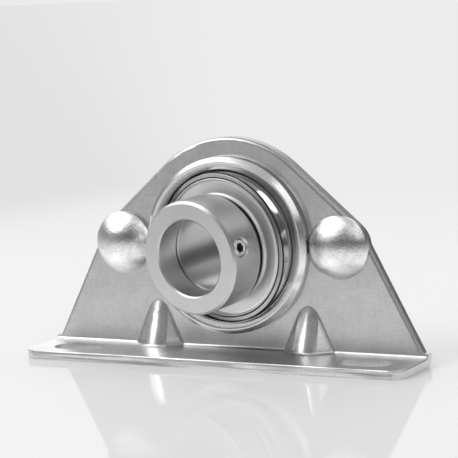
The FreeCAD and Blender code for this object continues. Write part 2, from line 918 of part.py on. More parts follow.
def locking_collar():
    """Collar with an off-centre recess that turns over the inner ring's cam."""
    body = new_body("locking_collar")
    rear = size("collar_rear")
    front = size("collar_front")
    radius = size("collar_radius")
    edge = size("collar_edge_break")
    small = size("ring_edge_break")
    revolve(body, "blank", [
        (ZERO, -front),
        (radius - edge, -front),
        (radius, edge - front),
        (radius, -rear - small),
        (radius - small, -rear),
        (ZERO, -rear),
    ])
    recess = new_sketch(body, "recess_circle", "XZ_Plane", rear)
    circle(recess, ZERO, size("eccentricity"), size("cam_radius") + size("cam_clearance"))
    pocket(body, "recess", recess, size("recess_front") - rear, reverse=True)
    bore = size("bore_radius") + size("collar_bore_clearance")
    chamfer = size("bore_edge_break")
    revolve(body, "bore", [
        (ZERO, -front - OVER),
        (bore + chamfer, -front - OVER),
        (bore + chamfer, -front),
        (bore, chamfer - front),
        (bore, -rear + OVER),
        (ZERO, -rear + OVER),
    ], cut=True)
    hole = size("screw_radius") + size("screw_clearance")
    sink = size("countersink_radius") - hole
    mouth = radius + sink
    drill = new_sketch(body, "screw_hole_profile", "XY_Plane")
    drill.setExpression("AttachmentOffset.Base.y", (-size("screw_position")).text)
    outline(drill, [
        (ZERO, ZERO),
        (mouth, ZERO),
        (mouth, size("countersink_radius") + sink),
        (radius - sink, hole),
        (ZERO, hole),
    ])
    tapped = body.newObject("PartDesign::Groove", "screw_hole")
    tapped.Profile = drill
    tapped.ReferenceAxis = (drill, ["H_Axis"])
    tapped.Angle = 360.0
    DOC.recompute()
    seat_in_housing(body, -size("screw_angle"))
    return body


def set_screw():
    """Hexagon socket set screw, backed off so that its point is clear of the shaft."""
    body = new_body("set_screw")
    tip = size("bore_radius") + size("collar_bore_clearance") + size("screw_tip_gap")
    top = tip + size("screw_length")
    radius = size("screw_radius")
    edge = size("screw_edge_break")
    offset = (-size("screw_position")).text
    sketch = new_sketch(body, "screw_profile", "XY_Plane")
    sketch.setExpression("AttachmentOffset.Base.y", offset)
    outline(sketch, [
        (tip, ZERO),
        (top, ZERO),
        (top, radius - edge),
        (top - edge, radius),
        (tip + edge * 2, radius),
        (tip, radius - edge * 2),
    ])
    shank = body.newObject("PartDesign::Revolution", "shank")
    shank.Profile = sketch
    shank.ReferenceAxis = (sketch, ["H_Axis"])
    shank.Angle = 360.0
    DOC.recompute()
    hexagon = new_sketch(body, "socket_outline", "YZ_Plane", top)
    flat = size("socket_width") / 2
    corner = flat * 2 / root(as_size(3))
    y = -size("screw_position")
    outline(hexagon, [
        (y + corner, ZERO),
        (y + corner / 2, flat),
        (y - corner / 2, flat),
        (y - corner, ZERO),
        (y - corner / 2, -flat),
        (y + corner / 2, -flat),
    ])
    pocket(body, "socket", hexagon, size("socket_depth"))
    seat_in_housing(body, -size("screw_angle"))
    return body


# Build and write

def build():
    pieces = [
        housing_bracket(),
        rear_retainer(),
        rivet("rivet_left", -1),
        rivet("rivet_right", 1),
        outer_ring(),
        inner_ring(),
        ball_cage(),
        locking_collar(),
        set_screw(),
    ]
    pieces += [ball(number) for number in range(1, int(size("ball_count").value) + 1)]
    for end, side in (("front", -1), ("rear", 1)):
        pieces.append(inner_washer(f"{end}_inner_washer", side))
        pieces.append(seal_lip(f"{end}_seal_lip", side))
        pieces.append(outer_washer(f"{end}_outer_washer", side))
    DOC.recompute()
    return pieces


def check(pieces):
    """Stop if any object failed or any piece isn't one valid closed solid."""
    failed = [thing.Name for thing in DOC.Objects if {"Invalid", "Error"} & set(thing.State)]
    if failed:
        raise RuntimeError(f"failed objects: {failed}")
    for piece in pieces:
        shape = piece.Shape
        if shape.isNull() or not shape.isValid() or len(shape.Solids) != 1:
            raise RuntimeError(f"{piece.Label} is not one valid solid")


def write(pieces):
    os.makedirs("parts", exist_ok=True)
    for piece in pieces:
        piece.Shape.exportStep(f"parts/{piece.Label}.step")
        box = piece.Shape.BoundBox
        corners = (box.XMin, box.YMin, box.ZMin, box.XMax, box.YMax, box.ZMax)
        print(f"{piece.Label}: volume {piece.Shape.Volume:.1f}, box", *(f"{value:.2f}" for value in corners))


PIECES = build()
check(PIECES)
write(PIECES)
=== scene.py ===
"""Looks of the pillow block bearing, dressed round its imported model.

Metres, in the model's own frame: X along the base, -Y towards the collar, Z up, origin at the
centre of the spherical seat.
"""
import json
import math

import bmesh
import bpy
from mathutils import Matrix, Vector, noise


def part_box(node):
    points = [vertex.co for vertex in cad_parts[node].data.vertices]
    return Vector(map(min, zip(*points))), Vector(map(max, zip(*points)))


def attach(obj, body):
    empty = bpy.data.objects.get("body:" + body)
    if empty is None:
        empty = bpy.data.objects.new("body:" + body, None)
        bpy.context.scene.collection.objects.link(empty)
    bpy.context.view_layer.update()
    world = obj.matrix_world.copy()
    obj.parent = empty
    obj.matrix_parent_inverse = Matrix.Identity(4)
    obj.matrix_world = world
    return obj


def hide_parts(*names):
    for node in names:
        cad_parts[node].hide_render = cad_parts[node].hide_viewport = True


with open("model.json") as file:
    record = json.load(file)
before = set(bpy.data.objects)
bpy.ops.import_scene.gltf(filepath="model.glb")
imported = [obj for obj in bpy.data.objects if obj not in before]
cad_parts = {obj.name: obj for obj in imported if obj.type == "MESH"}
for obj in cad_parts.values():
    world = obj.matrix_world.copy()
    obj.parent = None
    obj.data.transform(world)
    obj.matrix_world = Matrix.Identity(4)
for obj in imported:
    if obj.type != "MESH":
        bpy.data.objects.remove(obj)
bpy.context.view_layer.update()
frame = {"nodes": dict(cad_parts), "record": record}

# Places read from the frame

MM = 0.001
MOUNTS = {mount["name"]: mount for mount in frame["record"]["mounts"]}
BEARING_AXIS = Vector(MOUNTS["shaft_bore"]["axis"]).normalized()
FLOOR_HEIGHT = MOUNTS["base_face"]["pos_m"][2]
SQUARE_ON = BEARING_AXIS.rotation_difference(Vector((0, -1, 0)))

# Camera, fitted to the photograph

CAMERA_AZIMUTH = 27.61
CAMERA_ELEVATION = 7.03
CAMERA_ROLL = -2.26
CAMERA_DISTANCE = 0.6544
CAMERA_TARGET = Vector((-0.00157, 0, 0.00475))
FOCAL_PIXELS = 1978.3
FRAME_PIXELS = 458
SENSOR_WIDTH = 36.0
NEAREST_SEEN = 0.01
FARTHEST_SEEN = 100

# Sheet housing, in millimetres

GAUGE = 3.0
RETAINER_GAUGE = 2.5
BASE_TOP = FLOOR_HEIGHT / MM + GAUGE
BASE_FRONT = -25.0
SEAT_ROOT = 29.35
RIB_TOP = -10.0

# Where the sheet's finish changes, in millimetres from the face, edge or plane that it starts at

FACE_SKIN = 0.04
EDGE_ROLL = 1.3
EDGE_ROLL_BLUR = 0.2
UPRIGHT_START = 0.5
UPRIGHT_FULL = 2.0
RIB_START = 0.2
RIB_FULL = 1.2
RIB_TOP_BLUR = 2.0
FRONT_EDGE_FULL = 0.15
FRONT_EDGE_END = 0.6
FRONT_EDGE_TOP_BLUR = 0.3

# Dark lines along the sheared edge, in millimetres from the plane where the pressings meet

JOINT_START = 0.1
JOINT_END = 0.3
TEAR_START = 0.85
TEAR_END = 1.25
TEAR_BLUR = 0.12

# Painted shade on the face between the ribs, darker towards the bend, in millimetres

PAINTED_SHADE_HALF_WIDTH = 20.0
PAINTED_SHADE_BLUR = 6.0
PAINTED_SHADE_FOOT = -31.0
PAINTED_SHADE_TOP = -23.0

# Tones of the sheet, from black at 0 to white at 1

FACE_TONE = 0.62
ROLLED_PAINTED_DARK_TONE = 0.42
DARK_LINE_TONE = 0.16
SHOULDER_HIGHLIGHT_TONE = 0.8
RIB_HIGHLIGHT_TONE = 0.92
PAINTED_SHADE_TONE = 0.74
STREAK_DARK = 0.34
STREAK_PALE = 0.74

# Roughness of the sheet

FACE_SMOOTH = 0.3
FACE_ROUGH = 0.37
DRAWN_ROUGH = 0.22
EDGE_ROUGH = 0.42

# Grains per metre of the sheet's finish

CLOUD_GRAINS = 160.0
MOTTLE_GRAINS = 900.0
SPECK_GRAINS = 2600.0
GRAINS_ALONG_LINE = 260.0
GRAINS_ACROSS_LINE = 2600.0
STREAK_GRAINS = (45.0, 900.0, 1500.0)

# Shares of the crossed lines and of the mottle in the sheet's relief

LINES_IN_WEAVE = 0.35
MOTTLE_IN_WEAVE = 0.3

# Shoulder pressed round the seat, in millimetres, and the steps it is drawn in

SHOULDER_TOP = -7.62
SHOULDER_INSIDE = 25.5
SHOULDER_CREASE = 27.85
SHOULDER_OUTSIDE = 29.3
SHOULDER_FOOT = -6.05
SHOULDER_SHIFT = 0.05
SHOULDER_BRIGHT = 27.0
SHOULDER_BRIGHT_BLUR = 0.5
SHOULDER_STEPS = 16
SHOULDER_CORNERS = 256
CREASE_LAND = 0.02
WALL_LAND = 0.05
UNDERSIDE_DEPTH = 0.5
UNDERSIDE_WIDTH = 1.0

# Rivets, in millimetres, and the steps they are drawn in

HEAD_RADIUS = 10.45
RIM_HEIGHT = 1.5
DOME_HEIGHT = 5.1
RIM_ROUND = 0.35
RIM_ROUND_SHARE = 0.6
RIM_BEVEL = 0.2
SHANK_RADIUS = 4.0
TAIL_RADIUS = 7.6
TAIL_HEIGHT = 3.2
HEAD_STEPS = 70
RIM_STEPS = 6
TAIL_STEPS = 24

# Dents in the rivets: depth in millimetres, and dents per millimetre

BROAD_DENT_DEPTH = 0.05
BROAD_DENTS = 0.3
SMALL_DENT_DEPTH = 0.008
SMALL_DENTS = 1.1
SMALL_DENT_SHIFT = Vector((7, 3, 1))
DENT_ONSET = 0.5
DENT_LEAN = 0.35

# Outer ring, in millimetres

RING_HALF_WIDTH = 6.8
RING_CHAMFER = 0.45
RING_CORNER_RADIUS = 24.6
RING_CORNER_FADE = 0.3
RING_CORNER_BLUR = 0.02
RING_END_START = 0.06
RING_END_FULL = 0.03

# Tones of the outer ring, from black at 0 to white at 1

RING_TONE = 0.5
RING_CORNER_TONE = 0.05

# Grains per metre in the other materials

GRAINS_ALONG_TURNING = 25.0
STEEL_CLOUD_GRAINS = 180.0
RING_LINE_GRAINS = 6000.0
SCREW_LINE_GRAINS = 5000.0
RIVET_CLOUD_GRAINS = 520.0
RIVET_FINE_GRAINS = (3600.0, 2400.0, 1500.0)
RUBBER_GRAINS = 1500.0
NYLON_GRAINS = 700.0

# Colours of the nylon

NYLON_DARK = (0.66, 0.6, 0.48, 1)
NYLON_PALE = (0.76, 0.7, 0.57, 1)

# Set screw, in millimetres from the bearing's axis

SCREW_FACE = 17.6
SOCKET_FLOOR = 17.0

# Backdrop, darkened to the left by painted shade: its greys, and the headings, x over y, between which one
# turns into the other

BACKDROP = 0.84
BACKDROP_LEFT = 0.76
BACKDROP_LEFT_HEADING = -0.72
BACKDROP_RIGHT_HEADING = -0.5
BACKDROP_NEAREST = 0.5

# Floor: its greys from black at 0 to white at 1, its gloss, and its cloud's grains per metre

FLOOR_TONE = 0.75
FLOOR_CLOUD = 0.01
FLOOR_CLOUD_GRAINS = 4.0
FLOOR_LIFT = 0.07
REFLECTED_LIFT = 0.38
FLOOR_GLOSS = 0.12
FLOOR_ROUGH = 0.03

# Painted pool of light on the floor, which reflections see, and its fade into the backdrop, in metres from
# below the seat's centre

FLOOR_RADIUS = 20.0
FLOOR_CORNERS = 96
POOL_START = 0.06
POOL_EDGE = 0.3
POOL_END = 0.7
POOL_EDGE_LEVEL = 0.66
POOL_END_LEVEL = 0.42
FADE_START = 0.16
FADE_END = 0.6

# Room that the reflections see: its levels, and between which x or z of a unit ray they change

ROOM_LEFT = 0.3
ROOM_RIGHT = 0.15
ROOM_OVERHEAD = 0.5
ROOM_LOW = 0.15
LEFT_TO_RIGHT = (-0.8, -0.1)
SIDES_TO_OVERHEAD = (0.3, 0.95)
LOW_TO_SIDES = (-0.02, 0.08)

# Soft panels of the studio: azimuth, elevation, half width, half height in degrees, and level

PANELS = [
    (-72, 47, 30, 20, 1.75),
    (-40, 38, 11, 15, 1.8),
    (-34, 66, 13, 9, 1.3),
    (64, 40, 17, 18, 0.85),
    (122, 48, 9, 14, 2.0),
    (-150, 22, 26, 28, 1.2),
]

# Softness of a panel's edge, as a share of its size, and the cosines between which a panel fades in

PANEL_BLUR = 0.15
PANEL_LEAST_AHEAD = 0.001
PANEL_SEEN = (0.01, 0.05)


def direction(azimuth, elevation):
    """The unit vector that points there: azimuth 0 is the front, -Y, and 90 is +X."""
    turn = math.radians(azimuth)
    rise = math.radians(elevation)
    return Vector((math.sin(turn) * math.cos(rise), -math.cos(turn) * math.cos(rise), math.sin(rise)))


def add_camera():
    """The camera, turned about its own line of sight as the photograph's was."""
    back = direction(CAMERA_AZIMUTH, CAMERA_ELEVATION)
    right = Vector((0, 0, 1)).cross(back).normalized()
    up = back.cross(right)
    roll = math.radians(CAMERA_ROLL)
    rolled_right = right * math.cos(roll) + up * math.sin(roll)
    rolled_up = up * math.cos(roll) - right * math.sin(roll)
    data = bpy.data.cameras.new("photo_camera")
    data.sensor_width = SENSOR_WIDTH
    data.lens = FOCAL_PIXELS / FRAME_PIXELS * SENSOR_WIDTH
    data.clip_start = NEAREST_SEEN
    data.clip_end = FARTHEST_SEEN
    camera = bpy.data.objects.new("photo_camera", data)
    turn = Matrix((rolled_right, rolled_up, back)).transposed().to_4x4()
    camera.matrix_world = Matrix.Translation(CAMERA_TARGET + back * CAMERA_DISTANCE) @ turn
    bpy.context.scene.collection.objects.link(camera)
    bpy.context.scene.camera = camera


# Node building

class Nodes:
    """A node tree, with short calls that add nodes and join them."""

    def __init__(self, tree):
        self.tree = tree

    def feed(self, socket, value):
        """Join a socket to a value's node, or set it to a plain value."""
        if isinstance(value, bpy.types.NodeSocket):
            self.tree.links.new(value, socket)
        else:
            socket.default_value = value

    def add(self, kind, settings=None, **inputs):
        """A new node; an input's name has _ for each space."""
        node = self.tree.nodes.new(f"ShaderNode{kind}")
        for name, value in (settings or {}).items():
            setattr(node, name, value)
        for name, value in inputs.items():
            self.feed(node.inputs[name.replace("_", " ")], value)
        return node

    def math(self, operation, first, second=0.0, third=0.0):
        node = self.add("Math", {"operation": operation})
        for socket, value in zip(node.inputs, (first, second, third)):
            self.feed(socket, value)
        return node.outputs[0]

    def times(self, *values):
        """The product of two values or more."""
        result = values[0]
        for value in values[1:]:
            result = self.math("MULTIPLY", result, value)
        return result

    def vector(self, operation, first, second=None, scale=None):
        node = self.add("VectorMath", {"operation": operation})
        self.feed(node.inputs[0], first)
        if second is not None:
            self.feed(node.inputs[1], second)
        if scale is not None:
            self.feed(node.inputs["Scale"], scale)
        return node.outputs["Value" if operation in ("LENGTH", "DOT_PRODUCT") else "Vector"]

    def split(self, where):
        """The x, y and z of a vector."""
        return self.add("SeparateXYZ", Vector=where).outputs

    def grain(self, where, scale, detail=3.0, roughness=0.5):
        """Noise from 0 to 1 at a number of grains per metre."""
        node = self.add("TexNoise", Vector=where, Scale=scale, Detail=detail, Roughness=roughness)
        return node.outputs["Fac"]

    def stretched_grain(self, where, scales, detail=3.0, roughness=0.5):
        """Noise from 0 to 1 whose grains per metre differ along x, y and z."""
        return self.grain(self.vector("MULTIPLY", where, scales), 1.0, detail, roughness)

    def spread(self, value, low, high, from_low=0.3, from_high=0.7, smooth=False):
        """Map a value that runs about from_low to from_high onto low to high."""
        slope = "SMOOTHSTEP" if smooth else "LINEAR"
        node = self.add("MapRange", {"clamp": True, "interpolation_type": slope})
        for socket, number in zip(node.inputs, (value, from_low, from_high, low, high)):
            self.feed(socket, number)
        return node.outputs[0]

    def between(self, value, start, end, soft):
        """1 where a value lies between start and end, falling to 0 over soft on each side."""
        rising = self.spread(value, 0.0, 1.0, start - soft, start + soft, True)
        falling = self.spread(value, 1.0, 0.0, end - soft, end + soft, True)
        return self.times(rising, falling)

    def blend(self, factor, first, second):
        """A number that goes from first to second with the factor."""
        node = self.add("Mix", {"data_type": "FLOAT"}, Factor=factor)
        self.feed(node.inputs[2], first)
        self.feed(node.inputs[3], second)
        return node.outputs[0]

    def colours(self, factor, first, second):
        """A colour that goes from first to second with the factor."""
        node = self.add("Mix", {"data_type": "RGBA"}, Factor=factor)
        self.feed(node.inputs[6], first)
        self.feed(node.inputs[7], second)
        return node.outputs[2]

    def join(self, kind, first, second, factor=None):
        """Add or mix two shader nodes."""
        node = self.add(kind)
        offset = 0
        if factor is not None:
            self.feed(node.inputs[0], factor)
            offset = 1
        self.feed(node.inputs[offset], first.outputs[0])
        self.feed(node.inputs[offset + 1], second.outputs[0])
        return node

    def grey(self, value):
        return self.add("CombineColor", Red=value, Green=value, Blue=value).outputs[0]


class Look(Nodes):
    """A material, with its Principled shader at hand."""

    def __init__(self, name):
        self.material = bpy.data.materials.new(name)
        self.material.use_nodes = True
        super().__init__(self.material.node_tree)
        self.shader = self.tree.nodes["Principled BSDF"]

    def position(self):
        """The point on the object, in its own frame."""
        return self.add("TexCoord").outputs["Object"]

    def bump(self, height, distance, strength):
        node = self.add("Bump", Height=height, Distance=distance, Strength=strength)
        return node.outputs["Normal"]

    def set(self, **inputs):
        """Feed inputs of the Principled shader; a name has _ for each space."""
        for name, value in inputs.items():
            self.feed(self.shader.inputs[name.replace("_", " ")], value)


# Sheet of the housing

def sheet_grain(look, where):
    """The zinc's shade, the crossed lines that give it relief, and its mottle."""
    fine, coarse = GRAINS_ACROSS_LINE, GRAINS_ALONG_LINE
    cloud = look.grain(where, CLOUD_GRAINS)
    mottle = look.grain(where, MOTTLE_GRAINS, roughness=0.6)
    upright_lines = look.stretched_grain(where, (fine, fine, coarse))
    level_lines = look.stretched_grain(where, (coarse, fine, fine))
    lines = look.math("ADD", upright_lines, level_lines)
    weave = look.math("MULTIPLY_ADD", lines, LINES_IN_WEAVE, look.times(mottle, MOTTLE_IN_WEAVE))
    speck = look.grain(where, SPECK_GRAINS, 2.0, 0.6)
    shade = look.times(look.spread(cloud, 0.94, 1.05), look.spread(weave, 0.93, 1.06, 0.4, 0.6),
                       look.spread(speck, 0.9, 1.1))
    return shade, weave, mottle


def sheet_edge(look, depth, across, above):
    """Masks of the upright's edge: all of it, its rolled border, its sheared band and its dark lines."""
    inward = look.math("LESS_THAN", depth, GAUGE - FACE_SKIN)
    away = look.math("GREATER_THAN", across, SEAT_ROOT)
    facing = look.math("ABSOLUTE", look.split(look.add("TexCoord").outputs["Normal"])[1])
    sideways = look.spread(facing, 1.0, 0.0, 0.6, 0.9)
    edge = look.times(above, inward, away, sideways)
    border = look.spread(depth, 0.0, 1.0, GAUGE - EDGE_ROLL, GAUGE - EDGE_ROLL + EDGE_ROLL_BLUR)
    rolled = look.times(edge, border)
    sheared = look.times(edge, look.math("SUBTRACT", 1.0, border))
    tear = look.times(sheared, look.between(depth, TEAR_START, TEAR_END, TEAR_BLUR))
    joint = look.times(sheared, look.spread(depth, 1.0, 0.0, JOINT_START, JOINT_END))
    return edge, rolled, sheared, look.math("MAXIMUM", tear, joint)


def drawn_places(look, y, z, across, above, drawn):
    """Masks of the pressed places: the ribs alone, and the ribs with the seat's shoulder."""
    raised = look.spread(y, 1.0, 0.0, -GAUGE - RIB_FULL, -GAUGE - RIB_START, True)
    rib = look.times(raised, above, look.spread(z, 1.0, 0.0, RIB_TOP - RIB_TOP_BLUR, RIB_TOP))
    outside = look.spread(across, 0.0, 1.0, SHOULDER_BRIGHT, SHOULDER_BRIGHT + SHOULDER_BRIGHT_BLUR)
    return rib, look.math("MAXIMUM", rib, look.times(outside, drawn))


def galvanised_sheet(name, drawn):
    """Zinc-coated sheet: mottled faces, smoother where drawn with a painted highlight there, rougher
    rolled edges with a painted dark reflection, striped sheared edges, painted shade between the ribs.
    """
    look = Look(name)
    where = look.position()
    x, y, z = look.split(look.vector("SCALE", where, scale=1 / MM))
    depth = look.math("ABSOLUTE", y)
    across = look.vector("LENGTH", look.add("CombineXYZ", X=x, Z=z).outputs[0])
    above = look.spread(z, 0.0, 1.0, BASE_TOP + UPRIGHT_START, BASE_TOP + UPRIGHT_FULL)
    shade, weave, mottle = sheet_grain(look, where)
    edge, rolled, sheared, dark_lines = sheet_edge(look, depth, across, above)
    rib, bright = drawn_places(look, y, z, across, above, drawn)

    # Painted dark reflection: the rolled border of the edge gets a darker tone
    tone = look.blend(rolled, FACE_TONE, ROLLED_PAINTED_DARK_TONE)
    tone = look.blend(sheared, tone, FACE_TONE)
    tone = look.blend(dark_lines, tone, DARK_LINE_TONE)
    front = look.times(look.spread(y, 1.0, 0.0, BASE_FRONT + FRONT_EDGE_FULL, BASE_FRONT + FRONT_EDGE_END),
                       look.spread(z, 1.0, 0.0, BASE_TOP, BASE_TOP + FRONT_EDGE_TOP_BLUR))
    streaks = look.stretched_grain(where, STREAK_GRAINS, 2.0)
    tone = look.blend(front, tone, look.spread(streaks, STREAK_DARK, STREAK_PALE, 0.36, 0.62))
    # Drawn places are smoother, and their brighter tone is a painted highlight
    tone = look.blend(bright, tone, look.blend(rib, SHOULDER_HIGHLIGHT_TONE, RIB_HIGHLIGHT_TONE))

    # Painted shade: the face between the ribs is darkened towards the bend
    middle = look.times(look.between(x, -PAINTED_SHADE_HALF_WIDTH, PAINTED_SHADE_HALF_WIDTH, PAINTED_SHADE_BLUR), above)
    low = look.spread(z, PAINTED_SHADE_TONE, 1.0, PAINTED_SHADE_FOOT, PAINTED_SHADE_TOP, True)
    painted_shade = look.blend(middle, 1.0, low)
    rough = look.blend(bright, look.spread(mottle, FACE_SMOOTH, FACE_ROUGH), DRAWN_ROUGH)
    look.set(Base_Color=look.grey(look.times(shade, tone, painted_shade)), Metallic=1.0,
             Roughness=look.blend(edge, rough, EDGE_ROUGH),
             Normal=look.bump(weave, 0.03 * MM, look.blend(bright, 0.5, 0.2)))
    return look.material


# Other materials

def bright_rivet():
    """Plated rivet head: bright, with a fine mottle left by the riveting tool."""
    look = Look("bright_rivet")
    where = look.position()
    cloud = look.grain(where, RIVET_CLOUD_GRAINS, 5.0, 0.65)
    fine = look.stretched_grain(where, RIVET_FINE_GRAINS, 3.0, 0.6)
    tone = look.times(look.spread(cloud, 0.74, 0.92), look.spread(fine, 0.84, 1.06))
    look.set(Base_Color=look.grey(tone), Metallic=1.0, Roughness=look.spread(cloud, 0.3, 0.08),
             Normal=look.bump(fine, 0.12 * MM, 0.8))
    return look.material


def about_axis(look):
    """The point with the bearing's axis turned onto Y, and its distance from that axis."""
    axis, angle = SQUARE_ON.to_axis_angle()
    square = look.add("VectorRotate", {"rotation_type": "AXIS_ANGLE"}, Vector=look.position(), Axis=axis,
                      Angle=angle).outputs[0]
    return square, look.vector("LENGTH", look.vector("MULTIPLY", square, (1, 0, 1)))


def turning_lines(look, square, radius, fineness):
    """Fine lines that run round the bearing's axis, a number per metre."""
    x, y, _ = look.split(square)
    ring = look.add("CombineXYZ", X=look.times(radius, fineness), Y=look.times(y, fineness),
                    Z=look.times(x, GRAINS_ALONG_TURNING)).outputs[0]
    return look.grain(ring, 1.0, 4.0, 0.65)


def turned(name, tone, roughness, fineness, relief):
    """Steel turned or ground about the bearing axis: fine lines run round it."""
    look = Look(name)
    square, radius = about_axis(look)
    lines = turning_lines(look, square, radius, fineness)
    cloud = look.grain(square, STEEL_CLOUD_GRAINS)
    shade = look.times(look.spread(lines, 0.92, 1.05), look.spread(cloud, 0.96, 1.03))
    look.set(Base_Color=look.grey(look.times(shade, tone)), Metallic=1.0,
             Roughness=look.times(look.spread(lines, 0.9, 1.1), roughness),
             Normal=look.bump(lines, relief, 0.6))
    return look.material


def polished_ring():
    """Outer ring: mirror-bright outside, satin ends and corners left black from heat treatment."""
    look = Look("polished_ring")
    square, radius = about_axis(look)
    lines = turning_lines(look, square, radius, RING_LINE_GRAINS)
    along = look.math("ABSOLUTE", look.times(look.split(square)[1], 1 / MM))
    reach = look.times(radius, 1 / MM)
    end_start = RING_HALF_WIDTH - RING_END_START
    end = look.spread(along, 0.0, 1.0, end_start, RING_HALF_WIDTH - RING_END_FULL)
    chamfer = look.between(along, RING_HALF_WIDTH - RING_CHAMFER, end_start, RING_CORNER_BLUR)
    outside = look.spread(reach, 0.0, 1.0, RING_CORNER_RADIUS - RING_CORNER_FADE, RING_CORNER_RADIUS)
    corner = look.times(chamfer, outside)
    tone = look.blend(corner, RING_TONE, RING_CORNER_TONE)
    rough = look.blend(end, look.spread(lines, 0.05, 0.08), look.spread(lines, 0.24, 0.34))
    look.set(Base_Color=look.grey(look.times(tone, look.spread(lines, 0.95, 1.04))), Metallic=1.0,
             Roughness=look.blend(corner, rough, 0.55), Normal=look.bump(lines, 0.004 * MM, 0.5))
    return look.material


def socket_screw():
    """Bright set screw, rougher in its socket, with painted shade there."""
    look = Look("screw_steel")
    square, radius = about_axis(look)
    lines = turning_lines(look, square, radius, SCREW_LINE_GRAINS)
    inside = look.spread(look.times(radius, 1 / MM), 1.0, 0.0, SOCKET_FLOOR, SCREW_FACE)
    # Painted shade: the socket gets a darker tone
    tone = look.times(look.spread(lines, 0.9, 1.05), look.blend(inside, 0.74, 0.22))
    look.set(Base_Color=look.grey(tone), Metallic=1.0, Roughness=look.blend(inside, 0.24, 0.6),
             Normal=look.bump(lines, 0.01 * MM, 0.6))
    return look.material


def seal_rubber():
    """Black rubber with a faint uneven sheen."""
    look = Look("seal_rubber")
    cloud = look.grain(look.position(), RUBBER_GRAINS, 4.0)
    look.set(Base_Color=look.grey(look.spread(cloud, 0.02, 0.035)), Roughness=look.spread(cloud, 0.5, 0.7),
             Normal=look.bump(cloud, 0.02 * MM, 0.4))
    return look.material


def cage_nylon():
    """Ivory moulded nylon."""
    look = Look("cage_nylon")
    cloud = look.grain(look.position(), NYLON_GRAINS, 4.0)
    tone = look.colours(cloud, NYLON_DARK, NYLON_PALE)
    look.set(Base_Color=tone, Roughness=look.spread(cloud, 0.4, 0.55),
             Normal=look.bump(cloud, 0.03 * MM, 0.4))
    return look.material


LOOKS = {
    "galvanised_sheet": galvanised_sheet("galvanised_sheet", drawn=0.0),
    "plated_rivet": bright_rivet(),
    "polished_ring": polished_ring(),
    "bearing_steel": turned("bearing_steel", tone=0.45, roughness=0.3, fineness=9000.0, relief=0.003 * MM),
    "satin_collar": turned("satin_collar", tone=0.59, roughness=0.36, fineness=7000.0, relief=0.01 * MM),
    "washer_steel": turned("washer_steel", tone=0.8, roughness=0.46, fineness=5000.0, relief=0.01 * MM),
    "screw_steel": socket_screw(),
    "ball_steel": turned("ball_steel", tone=0.75, roughness=0.05, fineness=3000.0, relief=0.002 * MM),
    "seal_rubber": seal_rubber(),
    "cage_nylon": cage_nylon(),
}
SLOTS = {part["node"]: part["material_slot"] for part in frame["record"]["subparts"]}


def dress_nodes():
    """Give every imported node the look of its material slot."""
    for name, slot in SLOTS.items():
        node = frame["nodes"][name]
        node.data.materials.clear()
        node.data.materials.append(LOOKS[slot])


# Pieces turned about the Y axis

def lathe(name, profile, centre_x=0.0, centre_z=0.0, steps=192, reshape=None, closed=False):
    """A turned piece through points (radius, place along Y) in millimetres; radius 0 is one point."""
    shape = bmesh.new()
    rows = []
    for radius, along in profile:
        row = []
        for i in range(steps if radius > 0 else 1):
            angle = math.tau * i / steps
            out = Vector((math.cos(angle), 0, math.sin(angle)))
            point = Vector((centre_x, along, centre_z)) + out * radius
            if reshape:
                point = reshape(point, out, radius, along)
            row.append(shape.verts.new(point * MM))
        rows.append(row)
    followers = rows[1:] + rows[:1] if closed else rows[1:]
    for row, after in zip(rows, followers):
        for i in range(steps):
            j = (i + 1) % steps
            corners = [row[i % len(row)], row[j % len(row)], after[j % len(after)], after[i % len(after)]]
            shape.faces.new(list(dict.fromkeys(corners)))
    bmesh.ops.recalc_face_normals(shape, faces=shape.faces)
    for face in shape.faces:
        face.smooth = True
    mesh = bpy.data.meshes.new(name)
    shape.to_mesh(mesh)
    shape.free()
    piece = bpy.data.objects.new(name, mesh)
    bpy.context.scene.collection.objects.link(piece)
    return piece


def add_seat_shoulder():
    """The broad shoulder of the pressed seat: a crease at the lip, a slope and a wall to the sheet."""
    start = Vector((SHOULDER_CREASE, SHOULDER_TOP))
    end = Vector((SHOULDER_OUTSIDE, SHOULDER_FOOT))
    outward = Vector((end.y - start.y, end.x - start.x)).normalized()
    slope = []
    for i in range(SHOULDER_STEPS + 1):
        along = i / SHOULDER_STEPS
        slope.append(tuple(start.lerp(end, along) + outward * SHOULDER_SHIFT * 4 * along * (1 - along)))
    lip = [(SHOULDER_INSIDE, SHOULDER_TOP + UNDERSIDE_DEPTH), (SHOULDER_INSIDE, SHOULDER_TOP),
           (SHOULDER_CREASE - CREASE_LAND, SHOULDER_TOP)]
    wall = [(SHOULDER_OUTSIDE, SHOULDER_FOOT + WALL_LAND), (SHOULDER_OUTSIDE, -GAUGE),
            (SHOULDER_OUTSIDE - UNDERSIDE_WIDTH, -GAUGE + UNDERSIDE_DEPTH)]
    piece = lathe("seat_shoulder", lip + slope + wall, steps=SHOULDER_CORNERS, closed=True)
    piece.data.materials.append(galvanised_sheet("drawn_sheet", drawn=1.0))
    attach(piece, "housing")


# Rivets with dented heads

def dome(radius, height, steps):
    """Radius and depth below the top of points down a spherical cap, and the cap's slope at its rim."""
    ball = (radius ** 2 + height ** 2) / (2 * height)
    slope = math.asin(radius / ball)
    angles = [slope * i / steps for i in range(steps + 1)]
    return [(ball * math.sin(angle), ball * (1 - math.cos(angle))) for angle in angles], slope


